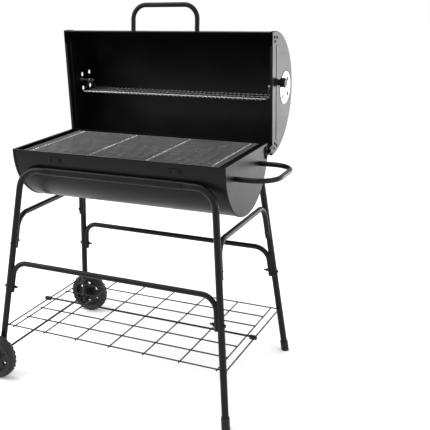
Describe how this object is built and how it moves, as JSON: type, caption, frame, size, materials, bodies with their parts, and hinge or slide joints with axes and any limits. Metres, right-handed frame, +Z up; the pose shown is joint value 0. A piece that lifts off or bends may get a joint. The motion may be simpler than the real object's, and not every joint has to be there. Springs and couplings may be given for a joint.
{
  "type": "barrel charcoal grill",
  "caption": "Half-barrel charcoal grill with a hinged barrel lid, wire grates, vent discs, a bent-tube wheeled stand and a wire shelf.",
  "frame": {"origin": "middle of the bounding box on the floor, with the lid open", "axes": "+X to the grill's right (the side with the tube handle), +Y to its rear, +Z up"},
  "size_m": [1.002, 0.749, 1.2432],
  "materials": {
    "black_enamel": "satin black heat-resistant coat",
    "black_tube": "satin black powder coat on tube",
    "black_wire": "thin black coat on wire",
    "chrome_plate": "bright plated",
    "grate_steel": "plain steel wire",
    "black_fastener": "black plated steel",
    "zinc_steel": "zinc plated",
    "black_plastic": "moulded, slightly grained",
    "wheel_plastic": "moulded",
    "tyre_rubber": "dull moulded tread"
  },
  "bodies": {
    "stand": {"bowl_shell": "black_enamel", "bowl_end_left": "black_enamel", "bowl_end_right": "black_enamel", "grate_brackets": "black_enamel", "bracket_outside_plates": "black_enamel", "grate_bracket_screws": "black_fastener", "grate_bracket_nuts": "black_fastener", "bowl_frame_bolts": "black_fastener", "bowl_frame_nuts": "zinc_steel", "hinge_bracket_left": "black_enamel", "hinge_bracket_right": "black_enamel", "hinge_bracket_screws": "black_fastener", "hinge_pin_left": "black_fastener", "hinge_pin_right": "black_fastener", "side_handle": "black_tube", "side_handle_bolts": "black_fastener", "front_leg_frame": "black_tube", "rear_leg_frame": "black_tube", "front_stretcher": "black_tube", "rear_stretcher": "black_tube", "left_brace": "black_tube", "right_brace": "black_tube", "stretcher_bolts": "black_fastener", "stretcher_nuts": "black_fastener", "brace_bolts": "black_fastener", "brace_nuts": "black_fastener", "foot_cap_front": "black_plastic", "foot_cap_rear": "black_plastic", "leg_plugs": "black_plastic", "axle": "black_wire", "axle_caps": "zinc_steel", "wheel_spacers": "zinc_steel", "bottom_shelf": "black_wire", "shelf_side_rods": "black_wire", "shelf_centre_rod": "black_wire", "centre_rod_caps": "black_plastic"},
    "lid": {"lid_shell": "black_enamel", "lid_end_left": "black_enamel", "lid_end_right": "black_enamel", "lid_handle": "black_tube", "lid_handle_screws": "black_fastener", "hinge_arm_left": "black_enamel", "hinge_arm_right": "black_enamel", "hinge_arm_screws": "black_fastener", "lid_cap_screws": "black_fastener", "vent_bolts": "zinc_steel", "vent_nuts": "zinc_steel", "vent_springs": "zinc_steel", "rack_pivot_pins": "zinc_steel"},
    "vent_left": {"vent_disc_left": "chrome_plate", "vent_knob_left": "black_plastic"},
    "vent_right": {"vent_disc_right": "chrome_plate", "vent_knob_right": "black_plastic"},
    "rack": {"warming_rack": "chrome_plate"},
    "grate": {"cooking_grate": "chrome_plate"},
    "coal_grate": {"charcoal_grate": "grate_steel"},
    "wheel_front": {"wheel_rim_front": "wheel_plastic", "wheel_tyre_front": "tyre_rubber"},
    "wheel_rear": {"wheel_rim_rear": "wheel_plastic", "wheel_tyre_rear": "tyre_rubber"}
  },
  "joints": [
    {"name": "lid_hinge", "type": "hinge", "parent": "stand", "child": "lid", "pos_m": [-0.0055, 0.1564, 0.765], "axis": [-1, 0, 0], "range_deg": [-86.6, 0]},
    {"name": "rack_hinge", "type": "hinge", "parent": "lid", "child": "rack", "pos_m": [-0.0055, 0.2584, 0.962], "axis": [-1, 0, 0], "range_deg": [0, 86.6]},
    {"name": "vent_left_turn", "type": "hinge", "parent": "lid", "child": "vent_left", "pos_m": [-0.3975, 0.29534, 0.95558], "axis": [1, 0, 0], "range_deg": [0, 45]},
    {"name": "vent_right_turn", "type": "hinge", "parent": "lid", "child": "vent_right", "pos_m": [0.3865, 0.29534, 0.95558], "axis": [1, 0, 0], "range_deg": [0, 45]},
    {"name": "grate_lift", "type": "slide", "parent": "stand", "child": "grate", "axis": [0, 0, 1], "range_m": [0, 0.3]},
    {"name": "coal_grate_lift", "type": "slide", "parent": "stand", "child": "coal_grate", "axis": [0, 0, 1], "range_m": [0, 0.012]},
    {"name": "wheel_front_spin", "type": "hinge", "parent": "stand", "child": "wheel_front", "pos_m": [-0.42299, -0.3451, 0.078], "axis": [0, 1, 0], "continuous": true},
    {"name": "wheel_rear_spin", "type": "hinge", "parent": "stand", "child": "wheel_rear", "pos_m": [-0.42299, 0.2939, 0.078], "axis": [0, 1, 0], "continuous": true}
  ],
  "couplings": [
    {"joint": "rack_hinge", "follows": "lid_hinge", "ratio": -1}
  ]
}
